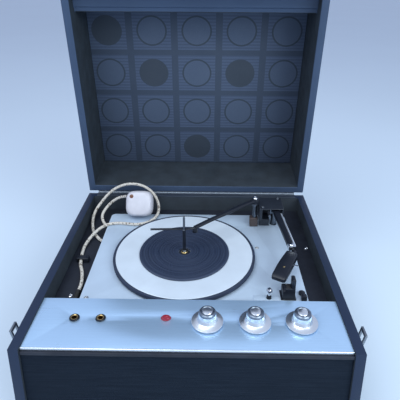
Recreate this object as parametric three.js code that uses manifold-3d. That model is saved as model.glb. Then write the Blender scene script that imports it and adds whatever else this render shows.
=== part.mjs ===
// Suitcase record player: a leathercloth-covered case with a hinged lid, an autochanger deck,
// a built-in valve amplifier and a front loudspeaker.
// Millimetres. +X right, +Y to the rear, +Z up. The origin is the centre of the case's underside.
import * as THREE from "three";
import { mergeVertices } from "three/addons/utils/BufferGeometryUtils.js";
import Module from "manifold-3d";

const wasm = await Module();
wasm.setup();

// ---------------------------------------------------------------- driving dimensions
const gap = 0.3;

const caseWidth = 410;
const caseDepth = 376;
const baseHeight = 130;
const wall = 12;
const boardThickness = 9;
const frontRake = 11; // how much further forward the front stands at the bottom
const rimZ = baseHeight;
const frontY = -caseDepth / 2;
const rearY = caseDepth / 2;
const innerX = caseWidth / 2 - wall;
const innerRearY = rearY - wall;
const rakeAngle = Math.atan(frontRake / baseHeight);

const lidDepth = 376;
const lidHeight = 102;
const lidOpenAngle = 83; // degrees from closed to the rest position
const rimGap = 1.6;
const hingeY = rearY + 2.6;
const hingeZ = rimZ + rimGap / 2;
const hingeLength = 376;
const linerThickness = 3;

const panelTopZ = rimZ - 2;
const panelThickness = 1.5;
const panelFrontY = frontY + 6;
const panelRearY = -100;

const motorBoardTopZ = rimZ - 28;
const deckTopZ = rimZ - 16;
const deckThickness = 2;
const deckX = [-152, 162];
const deckY = [-99, 138.7];
const cutoutX = [-106, 146];
const cutoutY = [-74, 122];

const platterX = -13;
const platterY = 12;
const platterRadius = 109.8;
const platterInnerRadius = 106.8;
const platterBottomZ = deckTopZ + 2.2;
const platterTopZ = deckTopZ + 9;
const matRadius = 69.5;
const spindleRadius = 3.4;
const spindleTipZ = rimZ + 58;

const idlerRadius = 18;
const pulleyRadius = 4;
const driveZ = [deckTopZ + 2.6, deckTopZ + 6.4];

const armPivotX = 139;
const armPivotY = 112;
const armZ = rimZ + 16;
const armJointX = 149;
const armJointY = -15;
const headOffsetAngle = 28; // degrees, the headshell's turn from the arm's own line
const headLength = 62;
const armRestX = [126, 143];
const armRestY = [-83, -66.5];

const overarmPostX = 104;
const overarmPostY = 106;
const overarmZ = rimZ + 33;

const knobY = -139.5;
const knobPlaces = { volume: 23.6, bass: 82.7, treble: 140.4 };
const knobSkirtRadius = 20;
const jackPlaces = { left: -142.7, right: -109.9 };
const jackY = -135.4;
const jackBoreRadius = 3.2;
const jewelX = -28.2;
const jewelY = -134.2;

const speakerLength = 172;
const speakerHeight = 88;
const speakerZ = 54;
const baffleWidth = caseWidth - 2 * wall - 2 * gap;
const baffleTopZ = panelTopZ - 8;

const cordDiameter = 5;
const cordExit = [-160, -61, 107.6];
const clipPlace = [-177.2, 14];

const plugCentre = [-100, 132, 139.8];
const plugLean = 30; // degrees, leaning back over the deck's rear edge
const plugWidth = 48;
const plugHeight = 46;
const plugThickness = 25;

// The route of the mains lead's centre line, from the strain relief to the plug.
const cordRoute = [
  cordExit,
  [-160.2, -49, 107.3],
  [-162.8, -33, 106.3],
  [-168, -15, 105.2],
  [-174.5, 2, 104.9],
  [-180.5, 44, 105.2],
  [-178, 62, 107.2],
  [-171, 79, 111],
  [-160.5, 92, 115],
  [-147, 100, 116.9],
  [-132, 102.5, 116.9],
  [-100, 99.5, 116.9],
  [-84.5, 105.5, 116.9],
  [-73, 118, 117.2],
  [-67.5, 135, 119.5],
  [-68.5, 152, 127.5],
  [-76.5, 165, 139],
  [-90.5, 171, 150.5],
  [-108, 172.3, 157.5],
  [-126.5, 172.3, 158],
  [-144, 171.5, 152.5],
  [-160, 168, 142.5],
  [-182, 148, 119.5],
  [-185.5, 131, 110.8],
  [-177, 95, 104.9],
  [-166.5, 77.5, 104.9],
  [-156, 65.9, 104.9],
  [-140, 59.3, 104.9],
  [-123, 64, 104.9],
  [-113.5, 79.5, 104.9],
  [-117.5, 97, 104.9],
  [-132, 107, 104.9],
  [-147.5, 109.3, 104.9],
  [-160.5, 115.5, 105.7],
  [-167.5, 126, 109],
  [-169.5, 136.5, 114],
  [-163.5, 149, 122],
  [-152.5, 156, 131],
  [-139.5, 155.5, 139],
  [-126.3, 151, 143.8],
];

// ---------------------------------------------------------------- materials
const finish = (color, roughness, metalness) =>
  new THREE.MeshStandardMaterial({ color, roughness, metalness });
const leathercloth = finish(0x1c2a44, 0.6, 0);
const speakerCloth = finish(0x161d2c, 0.9, 0);
const board = finish(0x6b5236, 0.8, 0);
const darkBoard = finish(0x141c2e, 0.8, 0);
const linerPaper = finish(0x232f55, 0.8, 0);
const brushedAluminium = finish(0xb9c6dc, 0.35, 0.9);
const deckPaint = finish(0xb4c0d2, 0.4, 0.3);
const platterPaint = finish(0xc4cedc, 0.4, 0.4);
const matRubber = finish(0x222c48, 0.8, 0);
const blackPlastic = finish(0x10131c, 0.35, 0);
const blackRubber = finish(0x0c0d10, 0.85, 0);
const chrome = finish(0xd8dce2, 0.15, 1);
const steel = finish(0x9aa0a8, 0.4, 0.9);
const brass = finish(0xb8934a, 0.3, 1);
const redGlass = finish(0xc02a1c, 0.15, 0);
const valveGlass = finish(0x9aa4a8, 0.1, 0);
const paperCone = finish(0x17171a, 0.9, 0);
const whitePlastic = finish(0xe6e8ec, 0.4, 0);
const cordCover = finish(0xd9d4cc, 0.7, 0);

// ---------------------------------------------------------------- geometry helpers
function toSolid(geometry) {
  const bare = geometry.index ? geometry.toNonIndexed() : geometry.clone();
  bare.deleteAttribute("normal");
  bare.deleteAttribute("uv");
  const merged = mergeVertices(bare, 1e-3);
  return new wasm.Manifold(
    new wasm.Mesh({
      numProp: 3,
      vertProperties: merged.attributes.position.array,
      triVerts: new Uint32Array(merged.index.array),
    }),
  );
}

function toGeometry(solid) {
  const mesh = solid.getMesh();
  const geometry = new THREE.BufferGeometry();
  const places = new THREE.BufferAttribute(new Float32Array(mesh.vertProperties), 3);
  geometry.setAttribute("position", places);
  geometry.setIndex(new THREE.BufferAttribute(new Uint32Array(mesh.triVerts), 1));
  geometry.computeVertexNormals();
  return geometry;
}

function join(first, ...others) {
  return toGeometry(others.reduce((sum, next) => sum.add(toSolid(next)), toSolid(first)));
}

function cut(first, ...tools) {
  return toGeometry(tools.reduce((rest, tool) => rest.subtract(toSolid(tool)), toSolid(first)));
}

// A box between two limits on each axis.
function block([x0, x1], [y0, y1], [z0, z1]) {
  const box = new THREE.BoxGeometry(x1 - x0, y1 - y0, z1 - z0);
  return box.translate((x0 + x1) / 2, (y0 + y1) / 2, (z0 + z1) / 2);
}

// An upright cylinder or cone.
function rod(x, y, [z0, z1], radius, sides = 24, topRadius = radius) {
  const shape = new THREE.CylinderGeometry(topRadius, radius, z1 - z0, sides);
  return shape.rotateX(Math.PI / 2).translate(x, y, (z0 + z1) / 2);
}

// A cylinder along Y or X.
function rodAlongY(x, [y0, y1], z, radius, sides = 24) {
  return new THREE.CylinderGeometry(radius, radius, y1 - y0, sides).translate(x, (y0 + y1) / 2, z);
}

function rodAlongX([x0, x1], y, z, radius, sides = 24) {
  const shape = new THREE.CylinderGeometry(radius, radius, x1 - x0, sides);
  return shape.rotateZ(Math.PI / 2).translate((x0 + x1) / 2, y, z);
}

// A solid of revolution about an upright axis, from [radius, height] points.
function turned(profile, sides = 48) {
  const points = profile.map(([radius, z]) => new THREE.Vector2(radius, z));
  return new THREE.LatheGeometry(points, sides).rotateX(Math.PI / 2);
}

function roundedOutline(width, height, radius) {
  const shape = new THREE.Shape();
  const x = width / 2;
  const y = height / 2;
  shape.moveTo(-x + radius, -y);
  shape.lineTo(x - radius, -y);
  shape.absarc(x - radius, -y + radius, radius, -Math.PI / 2, 0);
  shape.lineTo(x, y - radius);
  shape.absarc(x - radius, y - radius, radius, 0, Math.PI / 2);
  shape.lineTo(-x + radius, y);
  shape.absarc(-x + radius, y - radius, radius, Math.PI / 2, Math.PI);
  shape.lineTo(-x, -y + radius);
  shape.absarc(-x + radius, -y + radius, radius, Math.PI, 1.5 * Math.PI);
  return shape;
}

// A flat plate from an outline drawn in X and Y, between two heights.
function plate(outline, [z0, z1], curveSegments = 6) {
  const options = { depth: z1 - z0, bevelEnabled: false, curveSegments };
  return new THREE.ExtrudeGeometry(outline, options).translate(0, 0, z0);
}

// A tube along a list of points.
function tube(points, radius, sides, steps) {
  const places = points.map((point) => new THREE.Vector3(...point));
  const path = new THREE.CatmullRomCurve3(places, false, "centripetal");
  const section = new THREE.Shape();
  for (let i = 0; i < sides; i += 1) {
    const angle = (2 * Math.PI * i) / sides;
    const x = radius * Math.cos(angle);
    const y = radius * Math.sin(angle);
    if (i === 0) section.moveTo(x, y);
    else section.lineTo(x, y);
  }
  section.closePath();
  return new THREE.ExtrudeGeometry(section, { steps, extrudePath: path, bevelEnabled: false });
}

const player = new THREE.Group();

function add(name, geometry, material, parent = player) {
  const mesh = new THREE.Mesh(geometry, material);
  mesh.name = name;
  parent.add(mesh);
  return mesh;
}

function group(position, rotation = [0, 0, 0], parent = player) {
  const made = new THREE.Group();
  made.position.set(...position);
  made.rotation.set(...rotation);
  parent.add(made);
  return made;
}

const radians = THREE.MathUtils.degToRad;

// ---------------------------------------------------------------- case
// A side's outline in Y and Z, extruded along X. The front leans forward towards the bottom.
function sideProfile(front, rear, bottom, top) {
  const forward = (z) => front - (frontRake * (rimZ - z)) / baseHeight;
  const shape = new THREE.Shape();
  shape.moveTo(forward(bottom), bottom);
  shape.lineTo(rear, bottom);
  shape.lineTo(rear, top);
  shape.lineTo(forward(top), top);
  shape.closePath();
  return shape;
}

function extrudedAlongX(shape, x0, x1) {
  const solid = new THREE.ExtrudeGeometry(shape, { depth: x1 - x0, bevelEnabled: false });
  solid.rotateX(Math.PI / 2);
  solid.rotateZ(Math.PI / 2);
  return solid.translate(x0, 0, 0);
}

const footRecess = 1;
const footPlaces = {
  front_left: [-178, -170],
  front_right: [178, -170],
  rear_left: [-178, 160],
  rear_right: [178, 160],
};

function caseBox() {
  const half = caseWidth / 2;
  const outer = extrudedAlongX(sideProfile(frontY, rearY, 0, rimZ), -half, half);
  const inside = sideProfile(frontY - 30, innerRearY, boardThickness, rimZ + 10);
  const recesses = Object.values(footPlaces).map(([x, y]) => rod(x, y, [-1, footRecess], 11, 20));
  return cut(outer, extrudedAlongX(inside, -innerX, innerX), ...recesses);
}

// A foot's top stands in a shallow recess in the underside.
function foot(x, y) {
  const top = footRecess - gap;
  return turned([[0, -10], [8, -10], [10, 0], [10, top], [0, top]], 20).translate(x, y, 0);
}

add("base_case", caseBox(), leathercloth);
for (const [place, [x, y]] of Object.entries(footPlaces)) {
  add(`foot_${place}`, foot(x, y), blackRubber);
}

// The baffle and its cloth stand parallel to the raked front, set back between the side walls.
// Their group's origin is on the front's lower edge, with Y pointing inwards and Z up the slope.
const front = group([0, frontY - frontRake, 0], [-rakeAngle, 0, 0]);
const baffleHeight = (baffleTopZ - boardThickness - 2) / Math.cos(rakeAngle);
const baffleY = 5;

function baffle() {
  const shape = new THREE.Shape();
  shape.moveTo(-baffleWidth / 2, 0);
  shape.lineTo(baffleWidth / 2, 0);
  shape.lineTo(baffleWidth / 2, baffleHeight);
  shape.lineTo(-baffleWidth / 2, baffleHeight);
  const hole = new THREE.Path();
  const middle = speakerZ - boardThickness;
  hole.absellipse(0, middle, speakerLength / 2 - 10, speakerHeight / 2 - 10, 0, 2 * Math.PI);
  shape.holes.push(hole);
  const solid = new THREE.ExtrudeGeometry(shape, {
    depth: boardThickness,
    bevelEnabled: false,
    curveSegments: 20,
  });
  return solid.rotateX(Math.PI / 2).translate(0, baffleY + boardThickness, boardThickness + 2);
}

add("front_baffle", baffle(), board, front);
const cloth = block(
  [-baffleWidth / 2, baffleWidth / 2],
  [baffleY - 1.8, baffleY - gap],
  [boardThickness + 2, boardThickness + 2 + baffleHeight],
);
add("speaker_cloth", cloth, speakerCloth, front);

// The loudspeaker: an elliptical steel basket with its magnet, and a paper cone inside it.
function ellipseRing(outerX, outerZ, innerX_, innerZ, [y0, y1]) {
  const shape = new THREE.Shape();
  shape.absellipse(0, 0, outerX, outerZ, 0, 2 * Math.PI);
  const hole = new THREE.Path();
  hole.absellipse(0, 0, innerX_, innerZ, 0, 2 * Math.PI);
  shape.holes.push(hole);
  const solid = new THREE.ExtrudeGeometry(shape, {
    depth: y1 - y0,
    bevelEnabled: false,
    curveSegments: 16,
  });
  return solid.rotateX(Math.PI / 2).translate(0, y1, 0);
}

function ellipseCone(wide, narrow, [y0, y1], sides = 32) {
  const shape = new THREE.CylinderGeometry(narrow, wide, y1 - y0, sides);
  shape.scale(speakerLength / speakerHeight, 1, 1);
  return shape.translate(0, (y0 + y1) / 2, 0);
}

const speaker = group([0, baffleY + boardThickness + gap, speakerZ + 2], [0, 0, 0], front);
const coneRadius = speakerHeight / 2 - 8;
const basket = cut(
  join(
    ellipseRing(speakerLength / 2, speakerHeight / 2, speakerLength / 2 - 12, coneRadius, [0, 3]),
    ellipseCone(speakerHeight / 2 - 4, 17, [0, 34]),
    rodAlongY(0, [30, 58], 0, 26, 32),
  ),
  ellipseCone(speakerHeight / 2 - 6, 15, [-1, 32]),
);
add("speaker_frame", basket, steel, speaker);
const cone = cut(
  ellipseCone(coneRadius, 12, [1, 26]),
  ellipseCone(coneRadius - 1.6, 10.4, [0.5, 24]),
);
add("speaker_cone", cone, paperCone, speaker);

// ---------------------------------------------------------------- control panel
function controlPanel() {
  const top = block(
    [-innerX + gap, innerX - gap],
    [panelFrontY, panelRearY],
    [panelTopZ - panelThickness, panelTopZ],
  );
  const holes = Object.values(knobPlaces).map((x) => rod(x, knobY, [100, 140], 5, 20));
  for (const x of Object.values(jackPlaces)) {
    holes.push(rod(x, jackY, [100, 140], 5, 20));
  }
  holes.push(rod(jewelX, jewelY, [100, 140], 5, 20));
  return cut(top, ...holes);
}

add("control_panel", controlPanel(), brushedAluminium);
const trim = join(
  block([-innerX + gap, innerX - gap], [frontY + 0.5, panelFrontY - gap], [panelTopZ - 3, rimZ - 1]),
  block([-innerX + gap, innerX - gap], [frontY + 0.5, frontY + 2.3], [panelTopZ - 7.5, rimZ - 1]),
);
add("panel_trim", trim, chrome);

const bulkheadY = [panelRearY - 5.3, panelRearY - gap];
const bulkheadZ = [motorBoardTopZ + gap, panelTopZ - panelThickness - gap];
const bulkhead = cut(
  block([-innerX + gap, innerX - gap], bulkheadY, bulkheadZ),
  rodAlongY(cordExit[0], [panelRearY - 9, panelRearY + 5], cordExit[2], 4.2, 20),
);
add("panel_bulkhead", bulkhead, darkBoard);

const panelUnderZ = panelTopZ - panelThickness;
for (const [name, x] of Object.entries(knobPlaces)) {
  // A spun skirt, dished towards a domed cap, with a bore for the potentiometer's shaft.
  const knob = turned([
    [3.4, 0],
    [knobSkirtRadius - 1, 0],
    [knobSkirtRadius, 1.2],
    [knobSkirtRadius - 1.5, 2.6],
    [12.5, 4.8],
    [11, 7],
    [10.2, 13.5],
    [8.6, 16.4],
    [4.5, 18],
    [0, 18.4],
    [0, 14],
    [3.4, 14],
    [3.4, 0],
  ], 40);
  add(`${name}_knob`, knob.translate(x, knobY, panelTopZ + 1), chrome);
  const pot = join(
    rod(x, knobY, [panelUnderZ - 16, panelUnderZ - gap], 12, 28),
    rod(x, knobY, [panelUnderZ - 4, panelTopZ + 12], 3, 16),
  );
  add(`${name}_potentiometer`, pot, steel);
}

for (const [place, x] of Object.entries(jackPlaces)) {
  const socket = cut(
    join(
      rod(x, jackY, [panelUnderZ - 22, panelTopZ + 0.5], 4.6, 24),
      rod(x, jackY, [panelTopZ + gap, panelTopZ + 2], 6.4, 24),
      rod(x, jackY, [panelUnderZ - 4, panelUnderZ - gap], 7, 6),
    ),
    rod(x, jackY, [panelUnderZ - 17, panelTopZ + 5], jackBoreRadius, 24),
  );
  add(`jack_socket_${place}`, socket, brass);
}

// The pilot light: a faceted jewel above the panel and its lamp holder's barrel below.
const pilotLight = turned([
  [0, -24],
  [4.4, -24],
  [4.4, gap],
  [5.9, gap],
  [5.2, 2.8],
  [2.8, 4.3],
  [0, 4.7],
], 24);
add("pilot_light", pilotLight.translate(jewelX, jewelY, panelTopZ), redGlass);

// ---------------------------------------------------------------- inside the case
function motorBoard() {
  const height = [motorBoardTopZ - boardThickness, motorBoardTopZ];
  const full = block([-innerX + gap, innerX - gap], [panelRearY - 6, innerRearY - gap], height);
  return cut(full, block(cutoutX, cutoutY, [80, 120]));
}

add("motor_board", motorBoard(), darkBoard);

const floorZ = boardThickness + gap;
const chassis = join(
  block([40, 180], [-90, 20], [floorZ + 14, floorZ + 16]),
  block([40, 42], [-90, 20], [floorZ, floorZ + 15]),
  block([178, 180], [-90, 20], [floorZ, floorZ + 15]),
);
add("amplifier_chassis", chassis, steel);
const chassisTopZ = floorZ + 16 + gap;
const valve = turned([[0, 0], [11, 0], [11, 40], [8, 47], [2.5, 50], [0, 50]], 24);
add("output_valve", valve.translate(80, -50, chassisTopZ), valveGlass);
add("output_transformer", block([140, 172], [-20, 14], [chassisTopZ, chassisTopZ + 30]), steel);

// ---------------------------------------------------------------- deck
const slotX = [97, 119];
const startKnobY = -79.5;

function unitPlate() {
  const outline = roundedOutline(deckX[1] - deckX[0], deckY[1] - deckY[0], 8);
  const flat = plate(outline, [deckTopZ - deckThickness, deckTopZ]);
  flat.translate((deckX[0] + deckX[1]) / 2, (deckY[0] + deckY[1]) / 2, 0);
  return cut(
    flat,
    rod(platterX, platterY, [100, 130], 7, 24),
    rod(idlerX, idlerY, [100, 130], 3.2, 16),
    rod(pulleyX, pulleyY, [100, 130], 5, 20),
    block(slotX, [startKnobY - 2.6, startKnobY + 2.6], [100, 130]),
    rod(armPivotX, armPivotY, [100, 130], 6, 20),
    rod(overarmPostX, overarmPostY, [100, 130], 4, 16),
  );
}

const idlerDistance = platterInnerRadius - 0.4 - idlerRadius;
const idlerX = platterX + idlerDistance * Math.cos(Math.PI / 3);
const idlerY = platterY + idlerDistance * Math.sin(Math.PI / 3);
const pulleyReach = idlerRadius + pulleyRadius + 0.4;
const pulleyX = idlerX + pulleyReach * Math.SQRT1_2;
const pulleyY = idlerY - pulleyReach * Math.SQRT1_2;

add("unit_plate", unitPlate(), deckPaint);

// Three coil springs carry the unit plate on the motor board.
function coilSpring(height, radius, wire, turns) {
  const points = [];
  const perTurn = 10;
  for (let i = 0; i <= turns * perTurn; i += 1) {
    const angle = (2 * Math.PI * i) / perTurn;
    const rise = wire + ((height - 2 * wire) * i) / (turns * perTurn);
    points.push([radius * Math.cos(angle), radius * Math.sin(angle), rise]);
  }
  return tube(points, wire, 6, turns * perTurn);
}

const springHeight = deckTopZ - deckThickness - motorBoardTopZ - 2 * gap;
const springPlaces = { front_left: [-143, -83], front_right: [153, -83], rear_right: [153, 130] };
for (const [place, [x, y]] of Object.entries(springPlaces)) {
  const spring = coilSpring(springHeight, 4.5, 0.7, 3);
  add(`deck_spring_${place}`, spring.translate(x, y, motorBoardTopZ + gap), steel);
}

// The centre bearing's flange is under the plate, and the record spindle stands up through it.
const spindle = join(
  rod(platterX, platterY, [deckTopZ - 22, deckTopZ - deckThickness - gap], 12, 24),
  rod(platterX, platterY, [deckTopZ - 10, spindleTipZ - 5], spindleRadius, 16),
  rod(platterX, platterY, [spindleTipZ - 5, spindleTipZ], spindleRadius, 16, 1.4),
);
add("record_spindle", spindle, chrome);

const platter = turned([
  [spindleRadius + 0.5, platterBottomZ + 1],
  [14, platterBottomZ + 1],
  [14, platterTopZ - 2],
  [platterInnerRadius, platterTopZ - 2],
  [platterInnerRadius, platterBottomZ],
  [platterRadius - 1, platterBottomZ],
  [platterRadius, platterBottomZ + 1],
  [platterRadius, platterTopZ - 0.8],
  [platterRadius - 1.4, platterTopZ],
  [spindleRadius + 0.5, platterTopZ],
  [spindleRadius + 0.5, platterBottomZ + 1],
], 72);
add("platter", platter.translate(platterX, platterY, 0), platterPaint);
const matZ = platterTopZ + gap;
const mat = turned([
  [9, matZ],
  [matRadius, matZ],
  [matRadius, matZ + 1.8],
  [matRadius - 1.2, matZ + 2.6],
  [9, matZ + 2.2],
  [9, matZ],
], 64);
add("platter_mat", mat.translate(platterX, platterY, 0), matRubber);

const idler = join(
  rod(idlerX, idlerY, driveZ, idlerRadius, 40),
  rod(idlerX, idlerY, [deckTopZ - 8, driveZ[0] + 1], 2.6, 12),
);
add("idler_wheel", idler, blackRubber);
const pulley = join(
  rod(pulleyX, pulleyY, [deckTopZ - 3.6, driveZ[1]], pulleyRadius, 20),
  rod(pulleyX, pulleyY, [deckTopZ - 3.6, deckTopZ - 1], pulleyRadius - 1, 20),
);
add("motor_pulley", pulley, brass);
const motorTopZ = deckTopZ - deckThickness - 2;
const motor = join(
  block([pulleyX - 26, pulleyX + 26], [pulleyY - 22, pulleyY + 22], [motorTopZ - 34, motorTopZ - 12]),
  rod(pulleyX, pulleyY, [motorTopZ - 44, motorTopZ], 15, 28),
);
add("drive_motor", motor, steel);

// The start and reject control: a chrome knob on a dark stem that slides in the plate's slot.
const startStem = [108, startKnobY];
const startControl = join(
  rod(...startStem, [deckTopZ - 6, deckTopZ + 12], 2, 12),
  rod(...startStem, [deckTopZ + 10, deckTopZ + 17], 4.2, 20, 3.6),
  rod(...startStem, [deckTopZ - 8, deckTopZ - 3], 5, 16),
);
add("start_control", startControl, chrome);

const speedX = 155;
const speedY = -70;
const speedLever = join(
  rod(speedX, speedY, [deckTopZ + gap, deckTopZ + 3], 4.5, 20),
  block([speedX - 2.5, speedX + 2.5], [speedY - 14, speedY], [deckTopZ + gap, deckTopZ + 2.6]),
  block([speedX - 3.5, speedX + 3.5], [speedY - 17, speedY - 10], [deckTopZ + gap, deckTopZ + 9]),
);
add("speed_lever", speedLever, blackPlastic);

// ---------------------------------------------------------------- pickup arm
// The pedestal carries a housing that overhangs the plate. The arm's yoke turns in it.
const housingZ = [rimZ + 2, rimZ + 24.5];
const pedestal = cut(
  join(
    block([111, 152], [92, 134], housingZ),
    block([113, 130], [104, 132], [deckTopZ + gap, housingZ[0] + 1]),
  ),
  block([116, armPivotX + 11], [80, armPivotY + 13], [housingZ[0] - 5, housingZ[1] - 1.5]),
);
add("arm_pedestal", pedestal, blackPlastic);

const yoke = cut(
  join(
    rod(armPivotX, armPivotY, [deckTopZ - 6, armZ - 7.5], 5, 20),
    block([armPivotX - 8, armPivotX + 8], [armPivotY - 5, armPivotY + 5], [armZ - 9, armZ + 3]),
  ),
  block([armPivotX - 5.6, armPivotX + 5.6], [armPivotY - 9, armPivotY + 9], [armZ - 5.6, armZ + 9]),
);
add("arm_yoke", yoke, steel);

const armLength = Math.hypot(armJointX - armPivotX, armPivotY - armJointY);
const armTurn = Math.atan2(armJointX - armPivotX, armPivotY - armJointY);
const pickup = group([armPivotX, armPivotY, armZ], [0, 0, armTurn]);
const armTube = join(
  block([-5, 5], [-armLength + 6.3, 6], [-4.5, 4]),
  block([4, 6.6], [-armLength + 6.3, -24], [-3, 2.6]),
  rodAlongX([-5.4, 5.4], 0, 0, 2.2, 12),
);
add("pickup_arm", armTube, blackPlastic, pickup);
const head = group([0.5, -armLength + 1, -5], [0, 0, -radians(headOffsetAngle) - armTurn], pickup);
const headshell = cut(
  join(
    block([-9, 9], [-headLength, 0], [-7, 5]),
    block([-3.5, 3.5], [-2, 10], [-3.5, 0.2]),
    block([8, 17], [-27, -22], [-1, 0.6]),
  ),
  block([-7, 7], [-headLength - 2, -headLength + 34], [-9, -2.5]),
);
add("headshell", headshell, blackPlastic, head);
const cartridge = join(
  block([-6, 6], [-headLength + 4, -headLength + 26], [-8.6, -2.5 - gap]),
  rod(0, -headLength + 9, [-10.6, -8], 0.7, 8, 1.2),
);
add("pickup_cartridge", cartridge, whitePlastic, head);

// The head's front corner lies on the rest's raised edge.
const armRest = join(
  block(armRestX, armRestY, [deckTopZ + gap, rimZ - 0.5]),
  block([armRestX[0] + 3, armRestX[1]], [armRestY[0], armRestY[0] + 11], [rimZ - 1, rimZ + 3.2]),
);
add("arm_rest", armRest, blackPlastic);

// ---------------------------------------------------------------- record-steadying overarm
// A straight arm whose thin tongue passes close behind the spindle.
const post = join(
  rod(overarmPostX, overarmPostY, [deckTopZ - 5, overarmZ + 1], 3.6, 16),
  rod(overarmPostX, overarmPostY, [overarmZ - 9, overarmZ - 5], 5.4, 20),
  block(
    [overarmPostX - 8, overarmPostX + 6],
    [overarmPostY - 6, overarmPostY + 6],
    [deckTopZ + gap, deckTopZ + 17],
  ),
);
add("overarm_post", post, chrome);
const overarmEnd = [3.2, 23.6, overarmZ - 2.5];
const overarmLine = [
  [overarmPostX, overarmPostY, overarmZ],
  [80, 87.5, overarmZ],
  [50.9, 63, overarmZ - 0.5],
  [26, 43, overarmZ - 1.5],
  overarmEnd,
];
const tongueLine = [
  [12, 31, overarmEnd[2]],
  overarmEnd,
  [-8, 19.8, overarmEnd[2]],
  [-30, 18.6, overarmEnd[2]],
  [-65, 17, overarmEnd[2]],
];
const overarmSolid = cut(
  join(
    rod(overarmPostX, overarmPostY, [overarmZ - 4.5, overarmZ + 5.5], 6.5, 24),
    tube(overarmLine, 3.4, 10, 16),
    tube(tongueLine, 2, 8, 16),
    rod(overarmEnd[0], overarmEnd[1], [overarmZ - 11, overarmZ - 2], 4, 20),
  ),
  rod(overarmPostX, overarmPostY, [overarmZ - 20, overarmZ + 2], 4, 20),
);
add("overarm", overarmSolid, blackPlastic);

// ---------------------------------------------------------------- lid
// Built closed in a group at the hinge pin, then swung open about X.
const lid = group([0, hingeY, hingeZ], [-radians(lidOpenAngle), 0, 0]);
const lidRear = rearY - hingeY;
const lidFront = lidRear - lidDepth;
const lidRimZ = rimGap / 2;
const lidTopInside = lidHeight - boardThickness;

// A covered rail with a rebated edge stands along the inside of the front wall.
const railDepth = 34;
const railZ = [24, lidTopInside + 1];

function lidShell() {
  const half = caseWidth / 2;
  const outer = block([-half, half], [lidFront, lidRear], [lidRimZ, lidHeight]);
  const inside = block(
    [-innerX, innerX],
    [lidFront + wall, lidRear - wall],
    [lidRimZ - 5, lidTopInside],
  );
  const railY = lidFront + wall + railDepth;
  const rail = cut(
    block([-innerX - 1, innerX + 1], [lidFront + 1, railY], railZ),
    block([-caseWidth, caseWidth], [railY - 8, railY + 8], [railZ[0] - 5, railZ[0] + 2.5]),
  );
  return join(cut(outer, inside), rail);
}

add("lid_shell", lidShell(), leathercloth, lid);
const liner = block(
  [-innerX + gap, innerX - gap],
  [lidFront + wall + railDepth + gap, lidRear - wall - gap],
  [lidTopInside - gap - linerThickness, lidTopInside - gap],
);
add("lid_liner", liner, linerPaper, lid);

// ---------------------------------------------------------------- piano hinge
const leafThickness = 1;
const pinRadius = 1.1;
const hingeHalf = hingeLength / 2;
const baseLeafZ = [rimZ + 0.15, rimZ + 0.15 + leafThickness];
const baseLeaf = join(
  block([-hingeHalf, hingeHalf], [innerRearY + 0.5, hingeY - 0.5], baseLeafZ),
  rodAlongX([-hingeHalf, hingeHalf], hingeY, hingeZ, pinRadius, 12),
);
add("hinge_base_leaf", baseLeaf, steel);
const lidLeaf = block(
  [-hingeHalf, hingeHalf],
  [lidRear + gap, lidRear + gap + leafThickness],
  [lidRimZ + 1.4, lidRimZ + 15],
);
add("hinge_lid_leaf", lidLeaf, steel, lid);

// ---------------------------------------------------------------- side catches
const catchY = -148;
const catchPivotX = caseWidth / 2 + 5;
const catchPivotZ = rimZ - 34;
const catchRestAngle = 11; // degrees out from the wall while the lid is open
for (const [place, side] of [["left", -1], ["right", 1]]) {
  const faceX = (caseWidth / 2 + gap) * side;
  const spread = (near, far) => (side > 0 ? [near, far] : [-far, -near]);
  const plateX = spread(Math.abs(faceX), Math.abs(faceX) + 1.5);
  const earX = spread(Math.abs(faceX), catchPivotX + 2.6);
  const earZ = [catchPivotZ - 4, catchPivotZ + 4];
  const catchPlate = join(
    block(plateX, [catchY - 12, catchY + 12], [catchPivotZ - 9, rimZ - 10]),
    block(earX, [catchY - 12, catchY - 9.6], earZ),
    block(earX, [catchY + 9.6, catchY + 12], earZ),
  );
  add(`catch_plate_${place}`, catchPlate, steel);
  const pivot = [catchPivotX * side, catchY, catchPivotZ];
  const swing = group(pivot, [0, side * radians(catchRestAngle), 0]);
  const lever = cut(
    join(
      rodAlongY(0, [-9.2, 9.2], 0, 2.4, 16),
      block([-1.4, 1.4], [-8, 8], [0, 30]),
    ),
    block([-4, 4], [-5, 5], [14, 26]),
  );
  add(`catch_lever_${place}`, lever, chrome, swing);
}

// ---------------------------------------------------------------- carry handle
const handleSpan = 112;
const handlePivotX = caseWidth / 2 + 7;
const handlePivotZ = 74;
for (const [place, side] of [["front", -1], ["rear", 1]]) {
  const y = (side * handleSpan) / 2;
  const bracket = cut(
    join(
      block([caseWidth / 2 + gap, caseWidth / 2 + 2.3], [y - 9, y + 9], [56, 92]),
      block([caseWidth / 2 + gap, handlePivotX + 5], [y - 5, y + 5], [68, 80]),
    ),
    rodAlongY(handlePivotX, [y - 20, y + 20], handlePivotZ, 2.8, 16),
  );
  add(`handle_bracket_${place}`, bracket, chrome);
}

// The handle hangs down from its pins: two short arms and a grip.
const gripZ = handlePivotZ - 24;
const reach = handleSpan / 2;
const handle = join(
  rodAlongY(handlePivotX, [-reach - 5, -reach + 12], handlePivotZ, 2.5, 12),
  rodAlongY(handlePivotX, [reach - 12, reach + 5], handlePivotZ, 2.5, 12),
  block([handlePivotX - 3, handlePivotX + 3], [-reach + 6, -reach + 13], [gripZ, handlePivotZ + 3]),
  block([handlePivotX - 3, handlePivotX + 3], [reach - 13, reach - 6], [gripZ, handlePivotZ + 3]),
  block([handlePivotX - 4.5, handlePivotX + 5.5], [-reach + 6, reach - 6], [gripZ - 8, gripZ + 6]),
);
add("carry_handle", handle, blackPlastic);

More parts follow.
